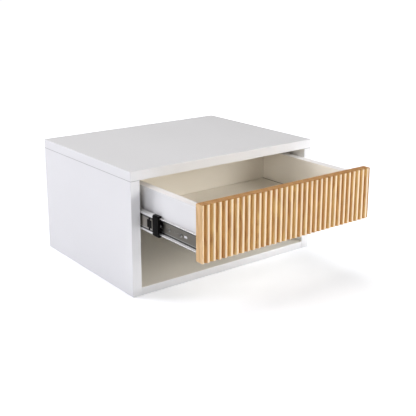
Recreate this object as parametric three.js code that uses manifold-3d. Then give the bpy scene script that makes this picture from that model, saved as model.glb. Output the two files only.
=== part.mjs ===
// Floating nightstand: a lacquered carcass with an open shelf under one inset drawer.
// The drawer has a reeded wooden front and runs on two telescopic ball-bearing slides.
// Millimetres. X runs to the right, Y to the wall, Z up. The origin is the centre of the
// carcass's underside. The drawer stands open, as far as the photograph shows it.

import * as THREE from "three";
import { mergeVertices } from "three/addons/utils/BufferGeometryUtils.js";
import Module from "manifold-3d";

const wasm = await Module();
wasm.setup();

// Clearances and cutting
const FIT_GAP = 0.3; // between a piece and what it lies on or in
const HOLE_CLEARANCE = 0.2; // round a dowel, a screw or a rivet in its hole
const OVERRUN = 2; // how far a cutter runs past the face that it opens
const WELD_DISTANCE = 0.0001;

// Carcass
const CABINET_WIDTH = 466;
const CABINET_DEPTH = 358;
const CABINET_HEIGHT = 250;
const TOP_THICKNESS = 19;
const SIDE_THICKNESS = 20;
const BOTTOM_THICKNESS = 16;
const EDGE_EASE = 0.6;
const CORNER_EASE = 1;
const BACK_THICKNESS = 6;
const BACK_RECESS = 18;
const BACK_GROOVE_DEPTH = 6;

// Hanging cleat behind the back panel
const CLEAT_HEIGHT = 60;

// Dowels of the carcass
const DOWEL_RADIUS = 4;
const DOWEL_CHAMFER = 1;
const DOWEL_IN_FACE = 11;
const DOWEL_IN_EDGE = 19;
const DOWEL_FROM_CORNER = 60;

// Drawer front
const FRONT_SIDE_GAP = 3;
const FRONT_TOP_GAP = 3;
const FRONT_HEIGHT = 104.5;
const FRONT_THICKNESS = 19;
const RIB_PITCH = 12.88;
const RIB_DEPTH = 5;

// Drawer box
const BOX_BOARD = 18;
const BOX_LENGTH = 288;
const BOX_HEIGHT = 85;
const BOX_RAISE = 7.5; // above the lower edge of the wooden front
const BOX_BOTTOM_THICKNESS = 6;
const BOX_BOTTOM_RAISE = 12;
const BOX_GROOVE_DEPTH = 6;

// Screws from the drawer box into the wooden front
const FRONT_SCREW_RADIUS = 2;
const FRONT_SCREW_BITE = 9;
const FRONT_SCREW_HEAD_RADIUS = 4.5;
const FRONT_SCREW_HEAD_HEIGHT = 2.4;
const FRONT_SCREW_SIDE_INSET = 45;
const FRONT_SCREW_LEVEL_SHARES = [0.42, 0.8]; // of the height of the box
const CROWN_SHARE = 0.72; // the flat crown of a screw's or a rivet's head, of its width

// Telescopic slides
const SLIDE_THICKNESS = 12.7;
const SLIDE_HEIGHT = 45.7;
const SLIDE_LENGTH = 250;
const SLIDE_RAISE = 21.5; // its centre above the lower edge of the box
const SLIDE_SETBACK = 3; // behind the wooden front when the drawer is shut
const STEP_CLEARANCE = 0.5; // to the rear stop when the drawer is shut
const CABINET_WALL = 1.2;
const MIDDLE_WALL = 1;
const DRAWER_WALL = 1.2;
const BALL_RADIUS = 1.6;
const RACE_CLEARANCE = 0.1;
const OUTER_ROW_REACH = 4.9; // ball row between cabinet and middle member
const INNER_ROW_REACH = 9; // ball row between middle and drawer member
const ROW_DROP = 2.85;
const MIDDLE_WEB_REACH = 2.1;
const SHOULDER_BEND = 1.5;

// How far the slides are drawn out in the photograph
const MIDDLE_OUT = 77;
const DRAWER_OUT = 114;

// Ball cages
const CAGE_WALL = 0.4;
const CAGE_BEND = 1.2;
const OUTER_CAGE_ANGLE = 20; // degrees, of the strip where it meets the balls
const INNER_CAGE_ANGLE = 4.5; // degrees
const OUTER_CAGE_SPAN_SHARES = [0.128, 0.528]; // of the cabinet member, from its front end
const INNER_CAGE_SPAN_SHARES = [0.194, 0.484]; // of the middle member, from its front end
const BALLS_PER_ROW = 4;
const CAGE_END_MARGIN = 6;

// Black bumper on the front end of the middle member
const BUMPER_LENGTH = 18;
const BUMPER_HALF_HEIGHT = 20.5;
const BUMPER_LOBE = 3.4;
const BUMPER_LOBE_START = 3.2;
const BUMPER_LOBE_REACH = 11;
const BUMPER_PLATE_REACH = 5.8;
const BUMPER_CORE_REACH = 7.7;
const BUMPER_CORE_HALF_HEIGHT = 12.6;
const BUMPER_ROUND = 1.2;
const TONGUE_THICKNESS = 2.2;
const TONGUE_HALF_HEIGHT = 5.5;
const TONGUE_END = 38;
const WINDOW_START = 21;
const WINDOW_LENGTH = 15;
const WINDOW_HALF_HEIGHT = 7.5;
const WINDOW_BAR_WIDTH = 5;
const WINDOW_BAR_HALF_HEIGHT = 12.5;
const WINDOW_ROUND = 1;

// Rear stop in the cabinet member
const REAR_STOP_LENGTH = 7.5;
const REAR_STOP_HALF_HEIGHT = 13;
const REAR_STOP_START_REACH = 1.5;
const REAR_STOP_END_REACH = 9;

// Release lever in the drawer member
const LEVER_THICKNESS = 2;
const LEVER_RAISE = 1.5;
const LEVER_HEAD_RADIUS = 7;
const LEVER_TAIL_HALF_HEIGHT = 3;
const LEVER_HOOK_LENGTH = 5;
const LEVER_HOOK_REACH = 5.2;
const RIVET_RADIUS = 1.5;
const RIVET_HEAD_RADIUS = 2.8;
const RIVET_HEAD_HEIGHT = 0.8;

// Screws and punched holes of the slides
const SLIDE_SCREW_RADIUS = 1.9;
const SLIDE_SCREW_BITE = 12;
const SLIDE_SCREW_HEAD_RADIUS = 3.6;
const SLIDE_SCREW_HEAD_HEIGHT = 1.9;
const SLOT_RADIUS = 2.3;
const SLOT_LENGTH = 8;
const PEG_HOLE_RADIUS = 1.6;
const ACCESS_SLOT_RADIUS = 7;
const ACCESS_SLOT_LENGTH = 22;

// Their places, as shares of the length of their member from its front end
const CABINET_SCREW_SHARES = [0.148, 0.532, 0.888];
const DRAWER_SCREW_SHARES = [0.223, 0.372, 0.901];
const CABINET_SLOT_SHARES = [0.208, 0.472, 0.824];
const DRAWER_SLOT_SHARES = [0.17, 0.81];
const PEG_HOLE_SHARES = [0.264, 0.306];
const ACCESS_SLOT_SHARES = [0.355, 0.843];
const LEVER_PIVOT_SHARE = 0.479;

// Facets
const EASE_SEGMENTS = 2;
const ROUND_SEGMENTS = 2;
const RIB_SEGMENTS = 8;
const RACE_SEGMENTS = 5;
const BEND_SEGMENTS = 3;
const HOLE_SEGMENTS = 12;
const SCREW_SEGMENTS = 10;
const BALL_SEGMENTS = 7;

// Finishes
const lacquer = finish(0xeeedeb, 0.16, 0);
const boxFinish = finish(0xe8e2d6, 0.42, 0);
const wood = finish(0xd9a970, 0.5, 0);
const plainWood = finish(0xd8bd90, 0.7, 0);
const zinc = finish(0xb4b7bb, 0.32, 0.95);
const cageSteel = finish(0x8f9295, 0.4, 0.9);
const blackPlastic = finish(0x121212, 0.45, 0);
const screwSteel = finish(0xc3c5c8, 0.3, 1);

function finish(color, roughness, metalness) {
  return new THREE.MeshStandardMaterial({ color, roughness, metalness });
}

// The closed solid within a surface
function solidOf(geometry) {
  const bare = geometry.index ? geometry.toNonIndexed() : geometry.clone();
  bare.deleteAttribute("normal");
  bare.deleteAttribute("uv");
  const welded = mergeVertices(bare, WELD_DISTANCE);
  const faces = [];
  for (let i = 0; i < welded.index.count; i += 3) {
    const [a, b, c] = [0, 1, 2].map((k) => welded.index.getX(i + k));
    if (a !== b && b !== c && c !== a) {
      faces.push(a, b, c);
    }
  }
  return new wasm.Manifold(
    new wasm.Mesh({
      numProp: 3,
      vertProperties: new Float32Array(welded.attributes.position.array),
      triVerts: new Uint32Array(faces),
    }),
  );
}

function geometryOf(solid) {
  const mesh = solid.getMesh();
  const geometry = new THREE.BufferGeometry();
  geometry.setAttribute("position", new THREE.BufferAttribute(mesh.vertProperties, 3));
  geometry.setIndex(new THREE.BufferAttribute(mesh.triVerts, 1));
  geometry.computeVertexNormals();
  return geometry;
}

// A piece of the nightstand: a solid in its own frame, with its place in the group's frame.
// Cuts and joins are given in the group's frame, so neighbours share their numbers.
class Piece {
  constructor(name, material, geometry, at = new THREE.Vector3()) {
    this.name = name;
    this.material = material;
    this.at = at;
    this.solid = solidOf(geometry);
  }

  cut(geometry, at = this.at) {
    this.solid = this.solid.subtract(this.local(geometry, at));
    return this;
  }

  join(geometry, at = this.at) {
    this.solid = this.solid.add(this.local(geometry, at));
    return this;
  }

  local(geometry, at) {
    const offset = at.clone().sub(this.at);
    return solidOf(geometry.clone().translate(offset.x, offset.y, offset.z));
  }

  mesh() {
    const mesh = new THREE.Mesh(geometryOf(this.solid), this.material);
    mesh.name = this.name;
    mesh.position.copy(this.at);
    return mesh;
  }
}

// Basic forms

function roundedOutline(width, height, round) {
  const x = width / 2;
  const y = height / 2;
  const outline = new THREE.Shape();
  outline.absarc(x - round, y - round, round, 0, Math.PI / 2);
  outline.absarc(-x + round, y - round, round, Math.PI / 2, Math.PI);
  outline.absarc(-x + round, -y + round, round, Math.PI, 1.5 * Math.PI);
  outline.absarc(x - round, -y + round, round, 1.5 * Math.PI, 2 * Math.PI);
  outline.closePath();
  return outline;
}

// Each arc of an outline is split into this many segments
function extrude(outline, depth, arcSegments = ROUND_SEGMENTS) {
  return new THREE.ExtrudeGeometry(outline, {
    depth,
    bevelEnabled: false,
    curveSegments: arcSegments / 2,
  });
}

// A board with all its edges eased, centred on its own middle
function easedBoard(size, ease, corner) {
  const geometry = new THREE.ExtrudeGeometry(roundedOutline(size.x, size.y, corner), {
    depth: size.z - 2 * ease,
    bevelThickness: ease,
    bevelSize: ease,
    bevelOffset: -ease,
    bevelSegments: EASE_SEGMENTS,
    curveSegments: EASE_SEGMENTS / 2,
  });
  return geometry.translate(0, 0, ease - size.z / 2);
}

function boardBetween(name, material, low, high) {
  const size = high.clone().sub(low);
  const middle = low.clone().add(high).multiplyScalar(0.5);
  return new Piece(name, material, easedBoard(size, EDGE_EASE, CORNER_EASE), middle);
}

function blockBetween(low, high) {
  const size = high.clone().sub(low);
  const middle = low.clone().add(high).multiplyScalar(0.5);
  return new THREE.BoxGeometry(size.x, size.y, size.z).translate(middle.x, middle.y, middle.z);
}

// A solid of revolution about the X axis, from [radius, x] pairs that start and end on it
function turnedAlongX(profile, segments) {
  const points = profile.map(([radius, x]) => new THREE.Vector2(radius, x));
  return new THREE.LatheGeometry(points, segments).rotateZ(-Math.PI / 2);
}

// An outline in X and Z, drawn out along Y from its front end at zero
function drawnAlongY(outline, length, arcSegments) {
  return extrude(outline, length, arcSegments).rotateX(Math.PI / 2).translate(0, length, 0);
}

// An outline in Y and Z, drawn out along X
function drawnAlongX(outline, thickness, arcSegments) {
  return extrude(outline, thickness, arcSegments).rotateX(Math.PI / 2).rotateZ(Math.PI / 2);
}

function vector(x, y, z) {
  return new THREE.Vector3(x, y, z);
}

// Places that several pieces share

const SIDE_FACE = CABINET_WIDTH / 2 - SIDE_THICKNESS;
const CABINET_FRONT = -CABINET_DEPTH / 2;
const CABINET_BACK = CABINET_DEPTH / 2;
const TOP_UNDERSIDE = CABINET_HEIGHT - TOP_THICKNESS;
const BACK_REAR_FACE = CABINET_BACK - BACK_RECESS;
const BACK_FRONT_FACE = BACK_REAR_FACE - BACK_THICKNESS;
const CLEAT_BASE = TOP_UNDERSIDE - CLEAT_HEIGHT;
const OPENED = MIDDLE_OUT + DRAWER_OUT;
const FRONT_WIDTH = 2 * (SIDE_FACE - FRONT_SIDE_GAP);
const FRONT_TOP = TOP_UNDERSIDE - FRONT_TOP_GAP;
const FRONT_BASE = FRONT_TOP - FRONT_HEIGHT;
const FRONT_BACK_FACE = CABINET_FRONT + FRONT_THICKNESS - OPENED;
const BOX_BASE = FRONT_BASE + BOX_RAISE;
const BOX_FACE = SIDE_FACE - SLIDE_THICKNESS - 2 * FIT_GAP;
const BOX_INSIDE = BOX_FACE - BOX_BOARD;
const BOX_REAR = FRONT_BACK_FACE + BOX_LENGTH;
const BOX_TOP = BOX_BASE + BOX_HEIGHT;
const BOX_BOTTOM_BASE = BOX_BASE + BOX_BOTTOM_RAISE;
const SLIDE_FRONT = CABINET_FRONT + FRONT_THICKNESS + SLIDE_SETBACK;
const SLIDE_CENTRE = BOX_BASE + SLIDE_RAISE;
const STEP_LENGTH = SLIDE_LENGTH - REAR_STOP_LENGTH - STEP_CLEARANCE;
const STEP_TRAVEL = SLIDE_LENGTH / 2; // of each member on the next, from shut to fully open
const LEVER_PIVOT = STEP_LENGTH * LEVER_PIVOT_SHARE;

// Carcass

function grooveForBack(low, high) {
  return blockBetween(
    vector(low.x, BACK_FRONT_FACE - FIT_GAP, low.z),
    vector(high.x, BACK_REAR_FACE + FIT_GAP, high.z),
  );
}

function dowel() {
  return turnedAlongX(
    [
      [0, -DOWEL_IN_EDGE],
      [DOWEL_RADIUS - DOWEL_CHAMFER, -DOWEL_IN_EDGE],
      [DOWEL_RADIUS, DOWEL_CHAMFER - DOWEL_IN_EDGE],
      [DOWEL_RADIUS, DOWEL_IN_FACE - DOWEL_CHAMFER],
      [DOWEL_RADIUS - DOWEL_CHAMFER, DOWEL_IN_FACE],
      [0, DOWEL_IN_FACE],
    ],
    SCREW_SEGMENTS,
  );
}

function dowelHole() {
  const radius = DOWEL_RADIUS + HOLE_CLEARANCE;
  const low = -DOWEL_IN_EDGE - FIT_GAP;
  const high = DOWEL_IN_FACE + FIT_GAP;
  return turnedAlongX([[0, low], [radius, low], [radius, high], [0, high]], SCREW_SEGMENTS);
}

// Each dowel lies across a joint: its long end in a board's edge, its short end in a face
const carcassDowels = [];
for (const [side, label] of [[-1, "left"], [1, "right"]]) {
  for (const [end, place] of [[-1, "front"], [1, "rear"]]) {
    const along = end * (CABINET_DEPTH / 2 - DOWEL_FROM_CORNER);
    carcassDowels.push({
      name: `top_dowel_${label}_${place}`,
      at: vector(side * (CABINET_WIDTH - SIDE_THICKNESS) / 2, along, TOP_UNDERSIDE),
      turn: (geometry) => geometry.rotateY(-Math.PI / 2),
      holds: [`${label}_side`, "top_panel"],
    });
    carcassDowels.push({
      name: `bottom_dowel_${label}_${place}`,
      at: vector(side * SIDE_FACE, along, BOTTOM_THICKNESS / 2),
      turn: (geometry) => (side > 0 ? geometry : geometry.rotateZ(Math.PI)),
      holds: [`${label}_side`, "bottom_panel"],
    });
  }
  carcassDowels.push({
    name: `cleat_dowel_${label}`,
    at: vector(side * SIDE_FACE, CABINET_BACK - BACK_RECESS / 2, TOP_UNDERSIDE - CLEAT_HEIGHT / 2),
    turn: (geometry) => (side > 0 ? geometry : geometry.rotateZ(Math.PI)),
    holds: [`${label}_side`, "hanging_cleat"],
  });
}

function carcass() {
  const pieces = {};

  pieces.top_panel = boardBetween(
    "top_panel",
    lacquer,
    vector(-CABINET_WIDTH / 2, CABINET_FRONT, TOP_UNDERSIDE),
    vector(CABINET_WIDTH / 2, CABINET_BACK, CABINET_HEIGHT),
  ).cut(
    grooveForBack(
      vector(-SIDE_FACE - BACK_GROOVE_DEPTH, 0, TOP_UNDERSIDE - OVERRUN),
      vector(SIDE_FACE + BACK_GROOVE_DEPTH, 0, TOP_UNDERSIDE + BACK_GROOVE_DEPTH),
    ),
    vector(0, 0, 0),
  );

  for (const [side, label] of [[-1, "left"], [1, "right"]]) {
    const outer = side * CABINET_WIDTH / 2;
    const inner = side * SIDE_FACE;
    const grooveFloor = side * (SIDE_FACE + BACK_GROOVE_DEPTH);
    const grooveMouth = side * (SIDE_FACE - OVERRUN);
    pieces[`${label}_side`] = boardBetween(
      `${label}_side`,
      lacquer,
      vector(Math.min(outer, inner), CABINET_FRONT, 0),
      vector(Math.max(outer, inner), CABINET_BACK, TOP_UNDERSIDE),
    ).cut(
      grooveForBack(
        vector(Math.min(grooveFloor, grooveMouth), 0, BOTTOM_THICKNESS - BACK_GROOVE_DEPTH),
        vector(Math.max(grooveFloor, grooveMouth), 0, CABINET_HEIGHT),
      ),
      vector(0, 0, 0),
    );
  }

  pieces.bottom_panel = boardBetween(
    "bottom_panel",
    lacquer,
    vector(-SIDE_FACE, CABINET_FRONT, 0),
    vector(SIDE_FACE, CABINET_BACK, BOTTOM_THICKNESS),
  ).cut(
    grooveForBack(
      vector(-CABINET_WIDTH / 2, 0, BOTTOM_THICKNESS - BACK_GROOVE_DEPTH),
      vector(CABINET_WIDTH / 2, 0, BOTTOM_THICKNESS + OVERRUN),
    ),
    vector(0, 0, 0),
  );

  const backReach = SIDE_FACE + BACK_GROOVE_DEPTH - FIT_GAP;
  const backLow = vector(-backReach, BACK_FRONT_FACE, BOTTOM_THICKNESS - BACK_GROOVE_DEPTH + FIT_GAP);
  const backHigh = vector(backReach, BACK_REAR_FACE, TOP_UNDERSIDE + BACK_GROOVE_DEPTH - FIT_GAP);
  pieces.back_panel = new Piece("back_panel", lacquer, blockBetween(backLow, backHigh));

  // The lower edge is bevelled to hook over a rail on the wall
  const cleatDepth = BACK_RECESS - FIT_GAP;
  const section = new THREE.Shape();
  section.moveTo(0, 0);
  section.lineTo(0, CLEAT_HEIGHT);
  section.lineTo(-cleatDepth, CLEAT_HEIGHT);
  section.lineTo(-cleatDepth, cleatDepth);
  section.closePath();
  const cleatLength = 2 * (SIDE_FACE - FIT_GAP);
  pieces.hanging_cleat = new Piece(
    "hanging_cleat",
    plainWood,
    drawnAlongX(section, cleatLength).translate(-cleatLength / 2, 0, 0),
    vector(0, CABINET_BACK, CLEAT_BASE),
  );

  for (const { name, at, turn, holds } of carcassDowels) {
    for (const board of holds) {
      pieces[board].cut(turn(dowelHole()), at);
    }
    pieces[name] = new Piece(name, plainWood, turn(dowel()), at);
  }
  return pieces;
}

// Drawer

// Half-round ribs side by side: the first is cut at its crest, and the last where the front ends
function reededOutline() {
  const ribRadius = (RIB_PITCH ** 2 / 4 + RIB_DEPTH ** 2) / (2 * RIB_DEPTH);
  const valleyAngle = Math.asin(RIB_PITCH / 2 / ribRadius);
  const crest = -FRONT_THICKNESS + ribRadius;
  const outline = new THREE.Shape();
  outline.moveTo(FRONT_WIDTH / 2, 0);
  outline.lineTo(-FRONT_WIDTH / 2, 0);
  outline.lineTo(-FRONT_WIDTH / 2, -FRONT_THICKNESS);
  const ribs = Math.ceil(FRONT_WIDTH / RIB_PITCH);
  for (let rib = 0; rib <= ribs; rib += 1) {
    const centre = -FRONT_WIDTH / 2 + rib * RIB_PITCH;
    for (let step = 1; step <= RIB_SEGMENTS; step += 1) {
      const angle = valleyAngle * ((2 * step) / RIB_SEGMENTS - 1);
      const x = centre + ribRadius * Math.sin(angle);
      const y = crest - ribRadius * Math.cos(angle);
      if (x > -FRONT_WIDTH / 2 && x < FRONT_WIDTH / 2) {
        outline.lineTo(x, y);
      }
    }
  }
  const lastCentre = -FRONT_WIDTH / 2 + Math.round(FRONT_WIDTH / RIB_PITCH) * RIB_PITCH;
  const lastReach = FRONT_WIDTH / 2 - lastCentre;
  outline.lineTo(FRONT_WIDTH / 2, crest - Math.sqrt(ribRadius ** 2 - lastReach ** 2));
  outline.closePath();
  return outline;
}

function frontScrew(clearance) {
  const shank = FRONT_SCREW_RADIUS + clearance;
  const head = FRONT_SCREW_HEAD_RADIUS + clearance;
  const headFace = BOX_BOARD + FRONT_SCREW_HEAD_HEIGHT + FIT_GAP;
  const seat = BOX_BOARD + FIT_GAP;
  const tip = -FRONT_SCREW_BITE - clearance;
  return turnedAlongX(
    [
      [0, tip],
      [shank / 2, tip],
      [shank, tip + shank],
      [shank, seat],
      [head, seat],
      [head, (seat + headFace) / 2],
      [head * CROWN_SHARE, headFace],
      [0, headFace],
    ],
    SCREW_SEGMENTS,
  ).rotateZ(Math.PI / 2);
}

function drawer() {
  const pieces = {};
  pieces.drawer_front = new Piece(
    "drawer_front",
    wood,
    extrude(reededOutline(), FRONT_HEIGHT),
    vector(0, FRONT_BACK_FACE, FRONT_BASE),
  );

  const innerLow = vector(-BOX_INSIDE, FRONT_BACK_FACE, BOX_BASE);
  const innerHigh = vector(BOX_INSIDE, FRONT_BACK_FACE + BOX_BOARD, BOX_TOP);
  const backLow = vector(-BOX_INSIDE, BOX_REAR - BOX_BOARD, BOX_BASE);
  const backHigh = vector(BOX_INSIDE, BOX_REAR, BOX_TOP);
  pieces.inner_front = boardBetween("inner_front", boxFinish, innerLow, innerHigh);
  pieces.box_back = boardBetween("box_back", boxFinish, backLow, backHigh);
  for (const [side, label] of [[-1, "left"], [1, "right"]]) {
    const outer = side * BOX_FACE;
    const inner = side * BOX_INSIDE;
    pieces[`box_side_${label}`] = boardBetween(
      `box_side_${label}`,
      boxFinish,
      vector(Math.min(outer, inner), FRONT_BACK_FACE, BOX_BASE),
      vector(Math.max(outer, inner), BOX_REAR, BOX_TOP),
    );
  }

  // The bottom lies in a groove all round
  const reach = BOX_INSIDE + BOX_GROOVE_DEPTH;
  const front = FRONT_BACK_FACE + BOX_BOARD - BOX_GROOVE_DEPTH;
  const rear = BOX_REAR - BOX_BOARD + BOX_GROOVE_DEPTH;
  const bottomTop = BOX_BOTTOM_BASE + BOX_BOTTOM_THICKNESS;
  const groove = blockBetween(
    vector(-reach, front, BOX_BOTTOM_BASE - FIT_GAP),
    vector(reach, rear, bottomTop + FIT_GAP),
  );
  for (const piece of Object.values(pieces)) {
    if (piece.name !== "drawer_front") {
      piece.cut(groove, vector(0, 0, 0));
    }
  }
  pieces.box_bottom = new Piece(
    "box_bottom",
    boxFinish,
    blockBetween(
      vector(-reach + FIT_GAP, front + FIT_GAP, BOX_BOTTOM_BASE),
      vector(reach - FIT_GAP, rear - FIT_GAP, bottomTop),
    ),
  );

  for (const [side, label] of [[-1, "left"], [1, "right"]]) {
    for (const [index, place] of ["lower", "upper"].entries()) {
      const name = `front_screw_${label}_${place}`;
      const at = vector(
        side * (BOX_INSIDE - FRONT_SCREW_SIDE_INSET),
        FRONT_BACK_FACE,
        BOX_BASE + BOX_HEIGHT * FRONT_SCREW_LEVEL_SHARES[index],
      );
      pieces.drawer_front.cut(frontScrew(HOLE_CLEARANCE), at);
      pieces.inner_front.cut(frontScrew(HOLE_CLEARANCE), at);
      pieces[name] = new Piece(name, screwSteel, frontScrew(0), at);
    }
  }
  return pieces;
}

// Slides
// Each slide has its own frame: X from the cabinet's face to the drawer, Y to the rear from the
// front end, Z up from the slide's centre. Both slides are alike: the right one is turned over.

const radians = THREE.MathUtils.degToRad;

function onCircle(centre, radius, degrees) {
  const angle = radians(degrees);
  return new THREE.Vector2(
    centre.x + radius * Math.cos(angle),
    centre.y + radius * Math.sin(angle),
  );
}

function arc(centre, radius, from, to, segments) {
  const points = [];
  for (let step = 0; step <= segments; step += 1) {
    points.push(onCircle(centre, radius, from + ((to - from) * step) / segments));
  }
  return points;
}

// The outline of a bent strip of even thickness, from its centre line
function stripOutline(centreLine, thickness) {
  const sides = [[], []];
  centreLine.forEach((point, index) => {
    const before = centreLine[Math.max(index - 1, 0)];
    const after = centreLine[Math.min(index + 1, centreLine.length - 1)];
    const arriving = point.clone().sub(before).normalize();
    const leaving = after.clone().sub(point).normalize();
    const along = arriving.clone().add(leaving).normalize();
    const normal = new THREE.Vector2(-along.y, along.x);
    const guide = index === 0 ? leaving : arriving;
    const stretch = along.x * guide.x + along.y * guide.y;
    const offset = normal.multiplyScalar(thickness / 2 / stretch);
    sides[0].push(point.clone().add(offset));
    sides[1].unshift(point.clone().sub(offset));
  });
  return new THREE.Shape([...sides[0], ...sides[1]]);
}

// A strip whose lower half mirrors its upper half
function doubled(upperHalf) {
  const lowerHalf = upperHalf.map((point) => new THREE.Vector2(point.x, -point.y)).reverse();
  return [...lowerHalf, ...upperHalf];
}

const outerRow = new THREE.Vector2(
  OUTER_ROW_REACH,
  SLIDE_HEIGHT / 2 - CABINET_WALL - RACE_CLEARANCE - BALL_RADIUS,
);
const innerRow = new THREE.Vector2(INNER_ROW_REACH, outerRow.y - ROW_DROP);

function raceRadius(wall) {
  return BALL_RADIUS + RACE_CLEARANCE + wall / 2;
}

// The flange slopes up from the web and hooks over the outer balls
function cabinetMemberLine() {
  const shoulder = 130;
  const lip = 35;
  const web = CABINET_WALL / 2;
  const race = arc(outerRow, raceRadius(CABINET_WALL), shoulder, lip, RACE_SEGMENTS);
  const slope = radians(shoulder - 90);
  const bendEnd = web + SHOULDER_BEND * (1 + Math.cos(radians(shoulder)));
  const rise = (race[0].x - bendEnd) * Math.tan(slope);
  const bendLevel = race[0].y - rise - SHOULDER_BEND * Math.sin(radians(shoulder));
  const bendCentre = new THREE.Vector2(web + SHOULDER_BEND, bendLevel);
  return doubled([...arc(bendCentre, SHOULDER_BEND, 180, shoulder, BEND_SEGMENTS), ...race]);
}

// The flange dips under the outer balls, then rises and hooks over the inner balls
function middleMemberLine() {
  const entry = 70;
  const lip = 20;
  const web = MIDDLE_WEB_REACH + MIDDLE_WALL / 2;
  const radius = raceRadius(MIDDLE_WALL);
  const between = innerRow.clone().sub(outerRow);
  const heading = Math.atan2(between.y, between.x);
  const crossing = heading - Math.acos((2 * radius) / between.length());
  const leave = THREE.MathUtils.radToDeg(crossing);
  const dip = arc(outerRow, radius, entry - 180, leave, RACE_SEGMENTS);
  const hook = arc(innerRow, radius, leave + 180, lip, RACE_SEGMENTS);
  const bend = (dip[0].x - web) / (1 + Math.cos(radians(entry)));
  const bendCentre = new THREE.Vector2(web + bend, dip[0].y - bend * Math.sin(radians(entry)));
  return doubled([...arc(bendCentre, bend, 180, entry, BEND_SEGMENTS), ...dip.slice(1), ...hook]);
}

// The flange turns back from the web and cradles the inner balls from below
function drawerMemberLine() {
  const entry = 110;
  const lip = -160;
  const web = SLIDE_THICKNESS - DRAWER_WALL / 2;
  const cradle = arc(innerRow, raceRadius(DRAWER_WALL), entry - 180, lip, RACE_SEGMENTS);
  const bend = (web - cradle[0].x) / (1 - Math.cos(radians(entry)));
  const bendCentre = new THREE.Vector2(web - bend, cradle[0].y - bend * Math.sin(radians(entry)));
  return doubled([...arc(bendCentre, bend, 0, entry, BEND_SEGMENTS), ...cradle.slice(1)]);
}

// A strip from a plate beside a web, bent over to carry a row of balls
function cageLine(plate, row, arrival) {
  const turn = arrival + 90;
  const bendEnd = plate + CAGE_BEND * (1 + Math.cos(radians(turn)));
  const rise = (row.x - bendEnd) * Math.tan(radians(arrival));
  const level = row.y - rise - CAGE_BEND * Math.sin(radians(turn));
  const bendCentre = new THREE.Vector2(plate + CAGE_BEND, level);
  const end = onCircle(row, CAGE_WALL, arrival);
  return doubled([...arc(bendCentre, CAGE_BEND, 180, turn, BEND_SEGMENTS), end]);
}

function ballCage(name, line, row, span) {
  const length = span[1] - span[0];
  const cage = new Piece(name, cageSteel, drawnAlongY(stripOutline(line, CAGE_WALL), length));
  const spacing = (length - 2 * CAGE_END_MARGIN) / (BALLS_PER_ROW - 1);
  for (let ball = 0; ball < BALLS_PER_ROW; ball += 1) {
    for (const level of [row.y, -row.y]) {
      cage.join(
        new THREE.SphereGeometry(BALL_RADIUS, BALL_SEGMENTS, BALL_SEGMENTS - 2),
        vector(row.x, CAGE_END_MARGIN + ball * spacing, level),
      );
    }
  }
  return cage;
}

// A round hole or a level slot, cut along X through the web between two reaches
function slotCutter(from, to, length, radius) {
  const outline = new THREE.Shape();
  outline.absarc(length / 2, 0, radius, -Math.PI / 2, Math.PI / 2);
  outline.absarc(-length / 2, 0, radius, Math.PI / 2, 1.5 * Math.PI);
  outline.closePath();
  return drawnAlongX(outline, to - from, HOLE_SEGMENTS / 2).translate(from, 0, 0);
}

function punch(piece, from, to, places, length, radius) {
  const cutter = slotCutter(from - OVERRUN, to + OVERRUN, length, radius);
  for (const place of places) {
    piece.cut(cutter, vector(0, place, 0));
  }
}

function placesAlong(length, shares) {
  return shares.map((share) => length * share);
}

const CABINET_SCREWS = placesAlong(SLIDE_LENGTH, CABINET_SCREW_SHARES);
const DRAWER_SCREWS = placesAlong(STEP_LENGTH, DRAWER_SCREW_SHARES);

// A flat-head screw whose head lies flush in the web of the cabinet member.
// Its hole is the same shape, wider all round by the clearance, and open past the head.
function cabinetScrew(clearance, opened) {
  const shank = SLIDE_SCREW_RADIUS + clearance;
  const head = SLIDE_SCREW_HEAD_RADIUS + clearance;
  const seat = CABINET_WALL - SLIDE_SCREW_HEAD_HEIGHT;
  const tip = -SLIDE_SCREW_BITE - clearance;
  const slope = (head - shank) / SLIDE_SCREW_HEAD_HEIGHT;
  return turnedAlongX(
    [
      [0, tip],
      [shank / 2, tip],
      [shank, tip + shank],
      [shank, seat],
      [head + slope * opened, CABINET_WALL + opened],
      [0, CABINET_WALL + opened],
    ],
    SCREW_SEGMENTS,
  );
}

// A round-head screw through the web of the drawer member into the box
function drawerScrew(clearance) {
  const web = SLIDE_THICKNESS - DRAWER_WALL;
  const shank = SLIDE_SCREW_RADIUS + clearance;
  const seat = web - FIT_GAP;
  const face = seat - SLIDE_SCREW_HEAD_HEIGHT;
  const tip = SLIDE_THICKNESS + SLIDE_SCREW_BITE + clearance;
  return turnedAlongX(
    [
      [0, face],
      [SLIDE_SCREW_HEAD_RADIUS * CROWN_SHARE, face],
      [SLIDE_SCREW_HEAD_RADIUS, (face + seat) / 2],
      [SLIDE_SCREW_HEAD_RADIUS, seat],
      [shank, seat],
      [shank, tip - shank],
      [shank / 2, tip],
      [0, tip],
    ],
    SCREW_SEGMENTS,
  );
}

function levelBlock(fromX, toX, fromY, toY, halfHeight, round) {
  const outline = roundedOutline(toY - fromY, 2 * halfHeight, round);
  return drawnAlongX(outline, toX - fromX).translate(fromX, (fromY + toY) / 2, 0);
}

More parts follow.
